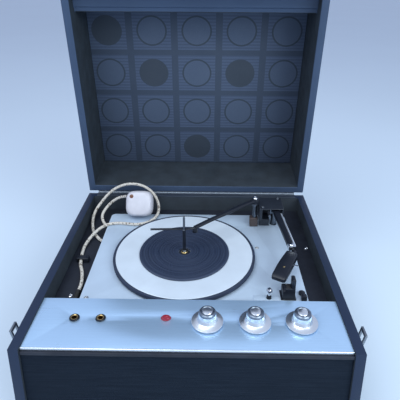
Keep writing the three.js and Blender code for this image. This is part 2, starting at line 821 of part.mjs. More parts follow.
// ---------------------------------------------------------------- mains lead
const reliefEndY = cordExit[1] - 2 * gap;
const reliefStartY = panelRearY;
const relief = turned([
  [0, bulkheadY[0] - 3],
  [5, bulkheadY[0] - 3],
  [5, bulkheadY[0] - gap],
  [3.7, bulkheadY[0] - gap],
  [3.7, reliefStartY],
  [5.2, reliefStartY],
  [5.2, reliefStartY + 2.5],
  [4.2, reliefStartY + 3.5],
  [3.1, reliefEndY],
  [0, reliefEndY],
], 20);
relief.rotateX(-Math.PI / 2);
add("strain_relief", relief.translate(cordExit[0], 0, cordExit[2]), cordCover);

const cordSteps = 60;
add("mains_cord", tube(cordRoute, cordDiameter / 2, 8, cordSteps), cordCover);

const [clipX, clipY] = clipPlace;
const clipTopZ = motorBoardTopZ + 8;
const clip = cut(
  block([clipX - 6, clipX + 13], [clipY - 5, clipY + 5], [motorBoardTopZ + gap, clipTopZ]),
  block([clipX - 4.4, clipX + 4.4], [clipY - 9, clipY + 9], [motorBoardTopZ - 1, clipTopZ - 1.6]),
);
add("cord_clip", clip, blackPlastic);

// A three-pin plug, leaning back with its pins in the space behind the deck.
const plug = group(plugCentre, [radians(-plugLean), 0, 0]);
const plugShape = roundedOutline(plugWidth, plugHeight, 11);
const plugCover = new THREE.ExtrudeGeometry(plugShape, {
  depth: plugThickness - 8,
  bevelEnabled: true,
  bevelThickness: 4,
  bevelSize: 4,
  bevelOffset: -4,
  bevelSegments: 3,
  curveSegments: 6,
});
plugCover.rotateX(Math.PI / 2);
plugCover.translate(0, plugThickness / 2 - 4, 0);
const plugPins = [
  { x: 0, z: 11, wide: 4, high: 8, long: 22.7 },
  { x: -11.1, z: -9, wide: 6.4, high: 4, long: 17.7 },
  { x: 11.1, z: -9, wide: 6.4, high: 4, long: 17.7 },
].map(({ x, z, wide, high, long }) => {
  const y = [plugThickness / 2 - 5, plugThickness / 2 + long];
  return block([x - wide / 2, x + wide / 2], y, [z - high / 2, z + high / 2]);
});
add("mains_plug", join(plugCover, ...plugPins), whitePlastic, plug);

export default player;
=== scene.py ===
import math

import bmesh
import bpy
import numpy as np
from mathutils import Matrix, Vector


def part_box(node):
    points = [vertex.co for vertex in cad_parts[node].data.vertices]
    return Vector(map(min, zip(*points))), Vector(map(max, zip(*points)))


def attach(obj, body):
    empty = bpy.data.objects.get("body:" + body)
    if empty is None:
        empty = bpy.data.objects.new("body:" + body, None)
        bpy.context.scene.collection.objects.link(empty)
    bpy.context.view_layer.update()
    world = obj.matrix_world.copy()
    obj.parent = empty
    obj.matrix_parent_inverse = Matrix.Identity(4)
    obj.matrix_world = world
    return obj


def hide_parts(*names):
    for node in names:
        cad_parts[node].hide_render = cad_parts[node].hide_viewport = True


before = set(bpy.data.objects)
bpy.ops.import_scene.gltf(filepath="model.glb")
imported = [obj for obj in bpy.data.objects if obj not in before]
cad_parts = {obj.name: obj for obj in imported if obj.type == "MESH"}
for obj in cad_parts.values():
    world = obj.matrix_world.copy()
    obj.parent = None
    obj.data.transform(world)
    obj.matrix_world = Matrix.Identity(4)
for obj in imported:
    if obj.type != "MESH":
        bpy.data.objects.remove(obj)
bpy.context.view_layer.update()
MM = 0.001


def box_mm(node):
    """The lowest and highest corners of a CAD node in millimetres."""
    low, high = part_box(node)
    return [v / MM for v in low], [v / MM for v in high]


def centre_mm(node):
    """The middle of a CAD node's box in millimetres."""
    low, high = box_mm(node)
    return [(a + b) / 2 for a, b in zip(low, high)]


# ---------------------------------------------------------------- places and sizes, in millimetres
CASE_LOW, CASE_HIGH = box_mm("base_case")
RIM_Z = CASE_HIGH[2]
REAR_Y = CASE_HIGH[1]
PANEL_HIGH = box_mm("control_panel")[1]
PANEL_TOP = PANEL_HIGH[2]
DECK_TOP = box_mm("unit_plate")[1][2]
BOARD_TOP = box_mm("motor_board")[1][2]
PLATTER_AT = centre_mm("platter")
PLATTER_TOP = box_mm("platter")[1][2]
PLATTER_RADIUS = (box_mm("platter")[1][0] - box_mm("platter")[0][0]) / 2
MAT_RADIUS = (box_mm("platter_mat")[1][0] - box_mm("platter_mat")[0][0]) / 2
SPINDLE_TIP = box_mm("record_spindle")[1][2]

# The joints' places, and the rest pose's angles in degrees, as in the CAD part.
HINGE_Y = REAR_Y + 2.6
HINGE_Z = RIM_Z + 0.8
HINGE_HALF = 188
LID_ANGLE = -83
ARM_PIVOT = (139, 112, 146)
ARM_LENGTH = 127.4
ARM_TURN = 4.5
HEAD_TURN = -32.5
HEAD_LENGTH = 62
PLUG_AT = (-100, 132, 139.8)
PLUG_LEAN = -30
CORD_DIAMETER = 5
RING_PITCH = 8.4

# The mains lead's centre line, as in the CAD part.
CORD_ROUTE = [
    (-160, -61, 107.6),
    (-160.2, -49, 107.3),
    (-162.8, -33, 106.3),
    (-168, -15, 105.2),
    (-174.5, 2, 104.9),
    (-180.5, 44, 105.2),
    (-178, 62, 107.2),
    (-171, 79, 111),
    (-160.5, 92, 115),
    (-147, 100, 116.9),
    (-132, 102.5, 116.9),
    (-100, 99.5, 116.9),
    (-84.5, 105.5, 116.9),
    (-73, 118, 117.2),
    (-67.5, 135, 119.5),
    (-68.5, 152, 127.5),
    (-76.5, 165, 139),
    (-90.5, 171, 150.5),
    (-108, 172.3, 157.5),
    (-126.5, 172.3, 158),
    (-144, 171.5, 152.5),
    (-160, 168, 142.5),
    (-182, 148, 119.5),
    (-185.5, 131, 110.8),
    (-177, 95, 104.9),
    (-166.5, 77.5, 104.9),
    (-156, 65.9, 104.9),
    (-140, 59.3, 104.9),
    (-123, 64, 104.9),
    (-113.5, 79.5, 104.9),
    (-117.5, 97, 104.9),
    (-132, 107, 104.9),
    (-147.5, 109.3, 104.9),
    (-160.5, 115.5, 105.7),
    (-167.5, 126, 109),
    (-169.5, 136.5, 114),
    (-163.5, 149, 122),
    (-152.5, 156, 131),
    (-139.5, 155.5, 139),
    (-126.3, 151, 143.8),
]


# ---------------------------------------------------------------- mesh helpers
def catmull_rom(points, step):
    """Centripetal Catmull-Rom curve through the points, resampled about every step."""
    p = np.array(points, float)
    p = np.vstack([2 * p[0] - p[1], p, 2 * p[-1] - p[-2]])
    line = []
    for i in range(1, len(p) - 2):
        p0, p1, p2, p3 = p[i - 1 : i + 3]
        t1 = np.linalg.norm(p1 - p0) ** 0.5
        t2 = t1 + np.linalg.norm(p2 - p1) ** 0.5
        t3 = t2 + np.linalg.norm(p3 - p2) ** 0.5
        count = max(2, round(np.linalg.norm(p2 - p1) / step))
        for t in np.linspace(t1, t2, count, endpoint=False):
            a1 = (t1 - t) / t1 * p0 + t / t1 * p1
            a2 = (t2 - t) / (t2 - t1) * p1 + (t - t1) / (t2 - t1) * p2
            a3 = (t3 - t) / (t3 - t2) * p2 + (t - t2) / (t3 - t2) * p3
            b1 = (t2 - t) / t2 * a1 + t / t2 * a2
            b2 = (t3 - t) / (t3 - t1) * a2 + (t - t1) / (t3 - t1) * a3
            line.append((t2 - t) / (t2 - t1) * b1 + (t - t1) / (t2 - t1) * b2)
    line.append(p[-2])
    return np.array(line)


def ring_frames(line):
    """A side and an up direction at each point of a line, carried along without twist."""
    tangents = np.gradient(line, axis=0)
    tangents /= np.linalg.norm(tangents, axis=1)[:, None]
    side = np.cross(tangents[0], (0, 0, 1))
    if np.linalg.norm(side) < 1e-3:
        side = np.array((1.0, 0, 0))
    sides, ups = [], []
    for tangent in tangents:
        side = side - tangent * (side @ tangent)
        side = side / np.linalg.norm(side)
        sides.append(side)
        ups.append(np.cross(side, tangent))
    return np.array(sides), np.array(ups)


def loft(rings):
    """A closed skin over rings of equally many points, with a flat cap on each end."""
    bm = bmesh.new()
    rows = [[bm.verts.new([c * MM for c in point]) for point in ring] for ring in rings]
    for low, high in zip(rows, rows[1:]):
        for i in range(len(low)):
            j = (i + 1) % len(low)
            bm.faces.new((low[i], low[j], high[j], high[i]))
    bm.faces.new(rows[0][::-1])
    bm.faces.new(rows[-1])
    bmesh.ops.recalc_face_normals(bm, faces=bm.faces)
    return bm


def sweep(points, radius, sides=12, step=None, flatten=1.0):
    """A round or flattened bar along a line. The radius may be a function of 0..1 along it."""
    line = catmull_rom(points, step) if step else np.array(points, float)
    side, up = ring_frames(line)
    rings = []
    for i, centre in enumerate(line):
        r = radius(i / (len(line) - 1)) if callable(radius) else radius
        ring = []
        for k in range(sides):
            a = 2 * math.pi * k / sides
            ring.append(centre + r * (math.cos(a) * side[i] + flatten * math.sin(a) * up[i]))
        rings.append(ring)
    return loft(rings)


def lathe(profile, sides=64):
    """A solid of revolution about Z from (radius, height) points in millimetres."""
    bm = bmesh.new()
    verts = [bm.verts.new((r * MM, 0, z * MM)) for r, z in profile]
    edges = [bm.edges.new(pair) for pair in zip(verts, verts[1:])]
    bmesh.ops.spin(
        bm,
        geom=verts + edges,
        cent=(0, 0, 0),
        axis=(0, 0, 1),
        angle=2 * math.pi,
        steps=sides,
        use_merge=True,
    )
    bmesh.ops.remove_doubles(bm, verts=bm.verts, dist=1e-7)
    bmesh.ops.recalc_face_normals(bm, faces=bm.faces)
    return bm


def block(x, y, z, rounding=0.0, segments=2):
    """A box between limits on each axis, with rounded edges."""
    bm = bmesh.new()
    bmesh.ops.create_cube(bm, size=1)
    for v in bm.verts:
        for axis, (low, high) in enumerate((x, y, z)):
            v.co[axis] = ((low + high) / 2 + v.co[axis] * (high - low)) * MM
    if rounding:
        round_edges(bm, rounding, segments)
    return bm


def round_edges(bm, width, segments=2, angle=30):
    """Rounds the edges that turn by more than the angle."""
    sharp = [e for e in bm.edges if e.is_manifold and e.calc_face_angle() > math.radians(angle)]
    bmesh.ops.bevel(
        bm,
        geom=sharp,
        offset=width * MM,
        segments=segments,
        profile=0.5,
        affect="EDGES",
        clamp_overlap=True,
    )


def cad_shape(node, rounding, segments=2):
    """A CAD node's shape with its flat faces merged and its edges rounded."""
    bm = bmesh.new()
    bm.from_mesh(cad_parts[node].data)
    bmesh.ops.remove_doubles(bm, verts=bm.verts, dist=1e-6)
    bmesh.ops.dissolve_limit(bm, angle_limit=0.02, verts=bm.verts, edges=bm.edges)
    round_edges(bm, rounding, segments)
    return bm


def joined(*parts):
    """Several loose shapes in one mesh."""
    whole = bmesh.new()
    for bm in parts:
        mesh = bpy.data.meshes.new("part")
        bm.to_mesh(mesh)
        bm.free()
        whole.from_mesh(mesh)
        bpy.data.meshes.remove(mesh)
    return whole


def placed(at, turn=0.0, axis="X"):
    """The matrix of a place in millimetres, turned about an axis in degrees."""
    return Matrix.Translation([c * MM for c in at]) @ Matrix.Rotation(math.radians(turn), 4, axis)


def moved(bm, at, turn=0.0, axis="X"):
    """Turns a shape about an axis through the origin, in degrees, then moves it."""
    bm.transform(placed(at, turn, axis))
    return bm


def piece(name, bm, look, body="case", replaces=(), smooth=35, at=None):
    """Makes the object, shades it, and lets it ride on its body."""
    mesh = bpy.data.meshes.new(name)
    bm.to_mesh(mesh)
    bm.free()
    mesh.polygons.foreach_set("use_smooth", [True] * len(mesh.polygons))
    mesh.set_sharp_from_angle(angle=math.radians(smooth))
    mesh.materials.append(look)
    made = bpy.data.objects.new(name, mesh)
    bpy.context.scene.collection.objects.link(made)
    if at is not None:
        made.matrix_world = at
    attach(made, body)
    if replaces:
        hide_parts(*replaces)
    return made


def cad_piece(name, node, rounding, look, body="case", segments=2):
    """A visible piece that keeps a CAD node's shape, with its edges rounded."""
    return piece(name, cad_shape(node, rounding, segments), look, body, [node])


# ---------------------------------------------------------------- material helper
class Look:
    """A material's node tree, with short calls for the nodes used in this scene."""

    def __init__(self, name, color, roughness, metallic=0.0, **sockets):
        self.material = bpy.data.materials.new(name)
        self.material.use_nodes = True
        self.tree = self.material.node_tree
        self.shader = self.tree.nodes["Principled BSDF"]
        self.shader.inputs["Base Color"].default_value = (*color, 1)
        self.shader.inputs["Roughness"].default_value = roughness
        self.shader.inputs["Metallic"].default_value = metallic
        for socket, value in sockets.items():
            self.shader.inputs[socket.replace("_", " ")].default_value = value
        self.color = color
        self.height = None

    def node(self, kind, inputs=(), **settings):
        made = self.tree.nodes.new("ShaderNode" + kind)
        for key, value in settings.items():
            setattr(made, key, value)
        for key, value in dict(inputs).items():
            if isinstance(value, bpy.types.NodeSocket):
                self.tree.links.new(value, made.inputs[key])
            else:
                made.inputs[key].default_value = value
        return made

    def place(self, stretch=(1, 1, 1)):
        """Object coordinates in metres, stretched on each axis."""
        coordinates = self.node("TexCoord").outputs["Object"]
        return self.node("Mapping", {"Vector": coordinates, "Scale": stretch}).outputs[0]

    def noise(self, scale, detail=4, stretch=(1, 1, 1), roughness=0.5):
        inputs = {"Vector": self.place(stretch), "Scale": scale, "Detail": detail}
        return self.node("TexNoise", {**inputs, "Roughness": roughness}).outputs[0]

    def cells(self, scale, stretch=(1, 1, 1), feature="F1"):
        inputs = {"Vector": self.place(stretch), "Scale": scale}
        return self.node("TexVoronoi", inputs, feature=feature).outputs["Distance"]

    def radius_about(self, centre):
        """The distance in metres from an upright axis through a place in millimetres."""
        shift = self.node("Mapping", {"Vector": self.node("TexCoord").outputs["Object"]})
        shift.inputs["Location"].default_value = (-centre[0] * MM, -centre[1] * MM, 0)
        flat = self.node("VectorMath", {0: shift.outputs[0], 1: (1, 1, 0)}, operation="MULTIPLY")
        return self.node("VectorMath", {0: flat.outputs[0]}, operation="LENGTH").outputs["Value"]

    def math(self, operation, a, b=0.0, c=0.0):
        return self.node("Math", {0: a, 1: b, 2: c}, operation=operation).outputs[0]

    def remap(self, value, low, high, to_low, to_high):
        inputs = {"From Min": low, "From Max": high, "To Min": to_low, "To Max": to_high}
        return self.node("MapRange", {"Value": value, **inputs}).outputs[0]

    def mix(self, factor, a, b):
        a = (*a, 1) if isinstance(a, tuple) else a
        b = (*b, 1) if isinstance(b, tuple) else b
        made = self.node("Mix", {0: factor, 6: a, 7: b}, data_type="RGBA")
        return made.outputs[2]

    def paint(self, socket):
        self.tree.links.new(socket, self.shader.inputs["Base Color"])
        return self

    def gloss(self, socket, low, high):
        """Roughness between low and high as the socket goes from 0.3 to 0.7."""
        rough = self.remap(socket, 0.3, 0.7, low, high)
        self.tree.links.new(rough, self.shader.inputs["Roughness"])
        return self

    def relief(self, height, distance, strength=1.0):
        """Adds a bump of that depth in millimetres on top of any before it."""
        inputs = {"Height": height, "Distance": distance * MM, "Strength": strength}
        if self.height is not None:
            inputs["Normal"] = self.height
        self.height = self.node("Bump", inputs).outputs[0]
        self.tree.links.new(self.height, self.shader.inputs["Normal"])
        return self

    def tints(self, spread, scale, detail=3):
        """Slight uneven colour: darker and lighter patches of the main colour."""
        dark = tuple(c * (1 - spread) for c in self.color)
        light = tuple(min(1, c * (1 + spread)) for c in self.color)
        factor = self.remap(self.noise(scale, detail), 0.3, 0.7, 0, 1)
        return self.paint(self.mix(factor, dark, light))


# ---------------------------------------------------------------- camera, in metres and degrees
CAMERA_PLACE = (0.02274, -0.5586, 0.5356)
CAMERA_PITCH = -23.44
CAMERA_YAW = 0.569
CAMERA_ROLL = 0.349
CAMERA_SENSOR = 36
CAMERA_LENS = 39.68
CAMERA_SHIFT = (-0.0107, -0.1125)


def photo_camera():
    """The photograph's viewpoint, recovered from the case's straight edges."""
    pitch, yaw, roll = (math.radians(a) for a in (CAMERA_PITCH, CAMERA_YAW, CAMERA_ROLL))
    ahead = math.cos(pitch)
    forward = Vector((-math.sin(yaw) * ahead, math.cos(yaw) * ahead, math.sin(pitch)))
    level = forward.cross((0, 0, 1)).normalized()
    upright = level.cross(forward)
    right = math.cos(roll) * level + math.sin(roll) * upright
    up = math.cos(roll) * upright - math.sin(roll) * level
    data = bpy.data.cameras.new("photo_camera")
    data.sensor_width = CAMERA_SENSOR
    data.lens = CAMERA_LENS
    data.shift_x, data.shift_y = CAMERA_SHIFT
    made = bpy.data.objects.new("photo_camera", data)
    turn = Matrix((right, up, -forward)).transposed().to_4x4()
    made.matrix_world = Matrix.Translation(CAMERA_PLACE) @ turn
    bpy.context.scene.collection.objects.link(made)
    bpy.context.scene.camera = made


photo_camera()

# ---------------------------------------------------------------- materials
def leathercloth(name, color):
    """Vinyl-coated cloth with a fine pebble grain."""
    look = Look(name, color, 0.45, Specular_IOR_Level=0.24)
    look.tints(0.12, 9)
    pebbles = look.cells(1050, feature="SMOOTH_F1")
    look.relief(look.remap(pebbles, 0, 0.7, 1, 0), 0.16, 0.7)
    look.relief(look.noise(260, 5), 0.12, 0.5)
    look.relief(look.noise(14, 2), 0.5, 0.25)
    return look.gloss(look.noise(35, 4), 0.34, 0.52).material


def speaker_weave():
    """Dark woven grille cloth with lighter threads across it."""
    look = Look("speaker_weave", (0.007, 0.013, 0.024), 0.8, Specular_IOR_Level=0.12)
    across = look.math("SINE", look.node("SeparateXYZ", {0: look.place((4200, 1, 1))}).outputs[0])
    down = look.math("SINE", look.node("SeparateXYZ", {0: look.place((1, 1, 4200))}).outputs[2])
    weave = look.math("MULTIPLY", across, down)
    look.relief(weave, 0.25, 0.8)
    threads = look.remap(look.noise(60, 3, (0.4, 1, 30)), 0.45, 0.62, 0, 1)
    return look.paint(look.mix(threads, look.color, (0.012, 0.02, 0.034))).material


def brushed_metal(name, color, low, high, metallic=1.0, grain=(14, 4200, 4200)):
    """Metal with fine parallel brush lines along X, smudged here and there."""
    look = Look(name, color, low, metallic)
    lines = look.noise(1, 6, grain, 0.7)
    dark = tuple(c * 0.9 for c in color)
    look.paint(look.mix(look.remap(lines, 0.35, 0.65, 0, 1), dark, color))
    look.relief(lines, 0.004, 0.4)
    smudges = look.math("MULTIPLY", look.noise(14, 4), 0.7)
    streaks = look.math("MULTIPLY", lines, 0.3)
    return look.gloss(look.math("ADD", smudges, streaks), low, high).material


def spun_metal(name, color, low, high, centre, rings=2600):
    """Metal turned on a lathe: very fine rings about an upright axis."""
    look = Look(name, color, low, 1.0)
    wave = look.math("SINE", look.math("MULTIPLY", look.radius_about(centre), rings))
    look.relief(wave, 0.01, 0.35)
    return look.gloss(look.noise(40, 4), low, high).material


def polished(name, color, low, high, metallic=1.0, **sockets):
    """A smooth hard surface with faint smears and pin-sized specks."""
    look = Look(name, color, low, metallic, **sockets)
    look.tints(0.06, 60)
    look.relief(look.noise(90, 3), 0.03, 0.15)
    return look.gloss(look.noise(55, 5), low, high).material


def hammered(name, color, low, high, metallic):
    """Sprayed metallic enamel with a soft orange-peel surface."""
    look = Look(name, color, low, metallic)
    look.tints(0.05, 25)
    look.relief(look.noise(420, 2), 0.03, 0.35)
    return look.gloss(look.noise(30, 4), low, high).material


def rubber(name, color, scale=300):
    """A dull grained surface, used for rubber, painted board and paper."""
    look = Look(name, color, 0.7)
    look.tints(0.2, 40)
    look.relief(look.noise(scale, 5), 0.06, 0.4)
    return look.gloss(look.noise(50, 4), 0.6, 0.8).material


def ringed_rubber(name, color, light, centre):
    """Rubber whose raised rings about an upright axis are painted lighter: painted light on the ridges
    and painted shade in the grooves, patchy along the rings.
    """
    look = Look(name, color, 0.7)
    around = 2 * math.pi / (RING_PITCH * MM)
    wave = look.math("SINE", look.math("MULTIPLY", look.radius_about(centre), around))
    # Painted highlight on the raised rings and painted shade in the grooves between them, broken up by
    # noise.
    ridge_highlight = look.math("MULTIPLY", look.remap(wave, 0.1, 0.9, 0, 1), look.noise(30, 4))
    look.paint(look.mix(ridge_highlight, color, light))
    look.relief(look.noise(300, 5), 0.06, 0.4)
    return look.gloss(look.noise(50, 4), 0.55, 0.75).material


def bare_wood(name, color, ring_color):
    """Unpainted plywood with its grain along X."""
    look = Look(name, color, 0.7)
    grain = look.noise(6, 6, (1.5, 30, 30), 0.6)
    look.paint(look.mix(look.remap(grain, 0.35, 0.65, 0, 1), color, ring_color))
    look.relief(grain, 0.1, 0.4)
    return look.material


def braided(name):
    """Cream cotton braid over rubber, flecked with brown."""
    look = Look(name, (0.62, 0.58, 0.52), 0.8, Sheen_Weight=0.2)
    strands = look.cells(620)
    look.relief(look.remap(strands, 0, 0.6, 1, 0), 0.35, 0.9)
    flecks = look.remap(look.noise(330, 2), 0.56, 0.62, 0, 1)
    soil = look.mix(look.noise(12, 3), (0.55, 0.5, 0.43), (0.74, 0.71, 0.66))
    return look.paint(look.mix(flecks, soil, (0.16, 0.12, 0.09))).material


def lining_paper():
    """The lid's printed lining: a grid of striped squares with discs and rings, in millimetres."""
    look = Look("lining_paper", (0.030, 0.042, 0.074), 0.7)
    columns, rows = 5, 4
    cell = (80.0, 78.0)
    first_row = 13.6
    half_square = 34
    disc_radius = 27
    ring_radius, ring_half_width = 25.6, 1.4
    stripe_pitch = 5.7
    filled_discs = ((0, 3), (1, 2), (3, 2), (2, 0))
    axes = look.node("SeparateXYZ", {0: look.place((1000, 1000, 1000))}).outputs
    column = look.math("ADD", look.math("DIVIDE", axes[0], cell[0]), columns / 2)
    along = look.math("SUBTRACT", look.math("MULTIPLY", axes[1], -1), first_row)
    row = look.math("DIVIDE", along, cell[1])
    x = look.math("MULTIPLY", look.math("SUBTRACT", look.math("FRACT", column), 0.5), cell[0])
    y = look.math("MULTIPLY", look.math("SUBTRACT", look.math("FRACT", row), 0.5), cell[1])
    reach = look.math("MAXIMUM", look.math("ABSOLUTE", x), look.math("ABSOLUTE", y))
    square = look.math("LESS_THAN", reach, half_square)
    below_last = look.math("LESS_THAN", row, rows)
    inside = look.math("MULTIPLY", look.math("GREATER_THAN", row, 0), below_last)
    square = look.math("MULTIPLY", square, inside)
    radius = look.math("SQRT", look.math("ADD", look.math("POWER", x, 2), look.math("POWER", y, 2)))
    disc = look.math("LESS_THAN", radius, disc_radius)
    stripes = look.math("SINE", look.math("MULTIPLY", y, 2 * math.pi / stripe_pitch))
    stripes = look.remap(stripes, -0.4, 0.4, 0, 1)
    filled = None
    for filled_column, filled_row in filled_discs:
        in_column = look.math("COMPARE", look.math("FLOOR", column), filled_column, 0.1)
        in_row = look.math("COMPARE", look.math("FLOOR", row), filled_row, 0.1)
        here = look.math("MULTIPLY", in_column, in_row)
        filled = here if filled is None else look.math("ADD", filled, here)
    ring = look.math("COMPARE", radius, ring_radius, ring_half_width)
    paper = (0.045, 0.064, 0.100)
    dark = (0.034, 0.048, 0.068)
    weft = look.mix(stripes, (0.058, 0.082, 0.135), (0.074, 0.104, 0.168))
    ground = look.mix(square, paper, weft)
    plain = look.mix(ring, (0.072, 0.100, 0.155), dark)
    fibres = look.remap(look.noise(700, 3), 0.3, 0.7, 0, 1)
    face = look.mix(filled, plain, look.mix(fibres, dark, (0.046, 0.060, 0.082)))
    in_disc = look.math("MULTIPLY", disc, square)
    printed = look.mix(in_disc, ground, face)
    look.paint(look.mix(look.math("MULTIPLY", fibres, 0.16), printed, (0.012, 0.018, 0.035)))
    look.relief(look.noise(900, 3), 0.05, 0.4)
    return look.gloss(look.noise(20, 4), 0.6, 0.8).material


COVER = leathercloth("leathercloth", (0.015, 0.026, 0.056))
# The lid's cloth is the case's leathercloth in a lighter colour: painted light on the lid's strips and
# rims that face the front.
LIT_LID_COVER = leathercloth("lid_leathercloth_painted_lighter", (0.048, 0.075, 0.131))
WEAVE = speaker_weave()
LINING = lining_paper()
# The panel metal's colour is tinted strong blue: a painted reflection of the blue sky in its
# mirror-like face.
PANEL = brushed_metal("panel_aluminium", (0.53, 0.75, 1.0), 0.26, 0.36, 0.62)
TRIM = brushed_metal("trim_aluminium", (0.8, 0.88, 0.98), 0.22, 0.34, 0.7)
STEEL = brushed_metal("plated_steel", (0.48, 0.50, 0.53), 0.3, 0.45)
HINGE_STEEL = brushed_metal("hinge_steel", (0.26, 0.29, 0.33), 0.35, 0.5)
DECK = hammered("deck_enamel", (0.50, 0.61, 0.74), 0.3, 0.42, 0.15)
PLATTER = hammered("platter_enamel", (0.66, 0.74, 0.83), 0.34, 0.44, 0.1)
DARK_STEEL = brushed_metal("dark_steel", (0.16, 0.18, 0.21), 0.3, 0.45)
CHROME = polished("chrome", (0.78, 0.80, 0.84), 0.07, 0.16)
KNOB_RING = polished("knob_ring", (0.24, 0.28, 0.34), 0.25, 0.4)
BRASS = polished("brass", (0.58, 0.43, 0.2), 0.18, 0.32)
BLACK_COLOR = (0.011, 0.014, 0.022)
BLACK = polished("black_plastic", BLACK_COLOR, 0.28, 0.42, 0.0, Specular_IOR_Level=0.35)
DARK_ENAMEL = hammered("dark_enamel", (0.02, 0.025, 0.036), 0.3, 0.45, 0.1)
WHITE = polished("white_plastic", (0.62, 0.61, 0.66), 0.32, 0.45, 0.0)
INNER_PAPER = rubber("inner_paper", (0.020, 0.029, 0.040), 700)
MAT = ringed_rubber("mat_rubber", (0.017, 0.029, 0.064), (0.034, 0.052, 0.098), PLATTER_AT)
BAND = rubber("band_rubber", (0.020, 0.032, 0.066))
RUBBER = rubber("black_rubber", (0.012, 0.012, 0.014))
BOARD = rubber("painted_board", (0.010, 0.014, 0.026), 180)
PLYWOOD = bare_wood("plywood", (0.42, 0.31, 0.19), (0.25, 0.17, 0.09))
CONE = rubber("cone_paper", (0.016, 0.016, 0.018), 500)
CORD = braided("cord_braid")
# The post foot's dark brown colour is painted shade and painted reflection at the base of the post.
BROWN = polished("foot_brown_painted_shade", (0.07, 0.05, 0.045), 0.35, 0.5, 0.0)
FUSE_BROWN = polished("brown_plastic", (0.16, 0.06, 0.03), 0.3, 0.45, 0.0)
RED = polished("red_jewel", (0.42, 0.035, 0.06), 0.1, 0.2, 0.0, Transmission_Weight=0.3)
GLASS = polished("valve_glass", (0.8, 0.84, 0.86), 0.02, 0.06, 0.0, Transmission_Weight=0.85)

# ---------------------------------------------------------------- mains lead, its relief, clip and plug
plug_place = placed(PLUG_AT, PLUG_LEAN)


def squircle(width, height, depth, power=3.4, count=48):
    """One upright ring of a rounded square at a given depth."""
    ring = []
    for k in range(count):
        a = 2 * math.pi * k / count
        c, s = math.cos(a), math.sin(a)
        x = width / 2 * math.copysign(abs(c) ** (2 / power), c)
        z = height / 2 * math.copysign(abs(s) ** (2 / power), s)
        ring.append((x, depth, z))
    return ring


def plug_cover():
    """The moulded body: a flat pin face, a straight wall, a seam and a domed back."""
    sizes = [
        (44, 42, 12.5),
        (47, 45, 11.6),
        (48, 46, 9.5),
        (48, 46, 5.2),
        (47, 45, 4.9),
        (47, 45, 4.3),
        (48, 46, 4.0),
        (47.4, 45.4, -3),
        (45.5, 43.4, -8),
        (41, 39, -11),
        (33, 31, -12.3),
        (20, 19, -12.5),
    ]
    return loft([squircle(*size) for size in sizes])


def plug_pin(x, z, wide, high, long):
    """One flat pin that starts inside the cover and stands out of its pin face."""
    pin_face = 12.5
    across = (x - wide / 2, x + wide / 2)
    return block(across, (pin_face - 2.5, pin_face + long), (z - high / 2, z + high / 2), 0.6)


plug = piece(
    "plug_cover",
    plug_cover(),
    WHITE,
    replaces=["mains_plug"],
    at=plug_place,
)
pins = joined(
    plug_pin(0, 11, 4, 8, 22.7),
    plug_pin(-11.1, -9, 6.4, 4, 17.7),
    plug_pin(11.1, -9, 6.4, 4, 17.7),
)
plug_pins = piece("plug_pins", pins, BRASS, at=plug_place)
cover_screw = lathe([(0, -1), (3.6, -1), (3.6, 0.5), (3, 0.9), (0, 0.9)], 24)
cover_screw = moved(cover_screw, (-12.5, -11.7, 12.5), 90)
plug_screw = piece("plug_screw", cover_screw, FUSE_BROWN, at=plug_place)

cord_mesh = sweep(CORD_ROUTE, CORD_DIAMETER / 2, 16, 3)
cord = piece("mains_lead", cord_mesh, CORD, replaces=["mains_cord"])


def strain_relief():
    """A tapered sleeve with a collar at the board and moulded rings."""
    low, high = box_mm("strain_relief")
    start = low[1] - PANEL_HIGH[1]
    length = high[1] - PANEL_HIGH[1]
    profile = [(0, start), (5, start), (5, -5.6), (3.7, -5.6), (3.7, 0)]
    profile += [(5.2, 0.1), (5.2, 2.4), (4.4, 3.2)]
    rings = 9
    for i in range(rings):
        y = 4 + (length - 7) * i / rings
        wide = 4.3 - 1.2 * i / rings
        profile += [(wide - 0.5, y), (wide, y + 0.6), (wide, y + 2.2), (wide - 0.5, y + 2.8)]
    profile += [(3.0, length - 0.4), (2.7, length), (0, length)]
    exit_x, _, exit_z = CORD_ROUTE[0]
    return moved(lathe(profile, 28), (exit_x, PANEL_HIGH[1], exit_z), -90, "X")


piece("cord_relief", strain_relief(), RUBBER, replaces=["strain_relief"])
cad_piece("cord_saddle", "cord_clip", 0.8, BLACK)

# ---------------------------------------------------------------- small fittings
SCREW_SIDES = 24


def screw_head(radius, height):
    """A domed head with a cross cut into it."""
    profile = [(0, -0.6), (radius * 0.9, -0.6), (radius, 0), (radius * 0.94, height * 0.45)]
    profile += [(radius * 0.7, height * 0.85), (radius * 0.35, height), (0, height)]
    head = lathe(profile, SCREW_SIDES)
    slot_half = radius * 0.62
    for v in head.verts:
        x, y, z = (c / MM for c in v.co)
        near_slot = min(abs(x), abs(y)) < radius * 0.16 and max(abs(x), abs(y)) < slot_half
        if near_slot and z > height * 0.5:
            v.co.z -= height * 0.45 * MM
    return head


def screws(name, places, radius, look=CHROME, facing=(0, 0, 1)):
    """Screw heads on the case at the places given, each turned a little differently."""
    heads = []
    turn = Vector((0, 0, 1)).rotation_difference(Vector(facing)).to_matrix().to_4x4()
    for number, at in enumerate(places):
        head = screw_head(radius, radius * 0.45)
        head.transform(placed(at) @ turn @ Matrix.Rotation(0.7 * number, 4, "Z"))
        heads.append(head)
    return piece(name, joined(*heads), look)


# ---------------------------------------------------------------- case
def line_inside(cover, limits, look, place=Matrix()):
    """Lines the faces whose middle lies within the limits, taken in the place's own axes."""
    cover.data.materials.append(look)
    inverse = place.inverted()
    for face in cover.data.polygons:
        middle = (inverse @ face.center) / MM
        if all(low < c < high for c, (low, high) in zip(middle, limits)):
            face.material_index = 1


